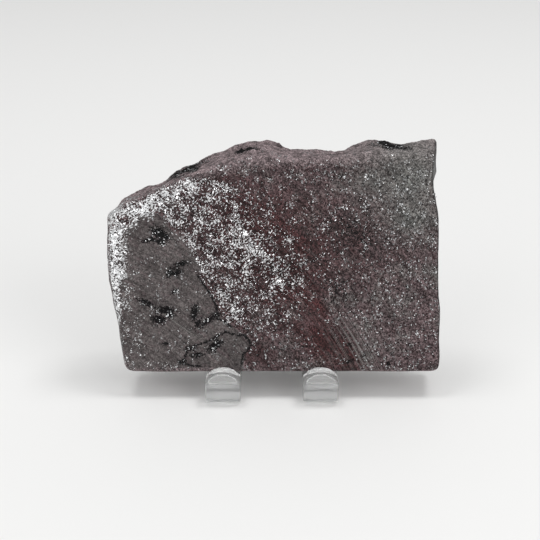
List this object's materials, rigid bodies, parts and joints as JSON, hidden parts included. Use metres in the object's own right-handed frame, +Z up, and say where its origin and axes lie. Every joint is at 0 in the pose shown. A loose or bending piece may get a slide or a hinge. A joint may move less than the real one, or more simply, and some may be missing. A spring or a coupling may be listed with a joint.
{
  "type": "specular hematite slab on an acrylic easel",
  "caption": "Sawn slab of specular hematite with a broken top, a rounded natural edge and a glittering grey to dark red face, leaning on a clear bent acrylic easel.",
  "frame": {"origin": "on the table, under the centre of the bounding box of slab and easel", "axes": "+Z up, the sawn face towards -Y, +X to the right as seen from the front"},
  "size_m": [0.0914, 0.047, 0.0674],
  "materials": {
    "hematite": "sawn and lapped face with mirror-bright flakes, dull broken edges",
    "clear_acrylic": "clear, polished"
  },
  "bodies": {
    "root": {"hematite_slab": "hematite", "acrylic_easel": "clear_acrylic"}
  },
  "joints": []
}
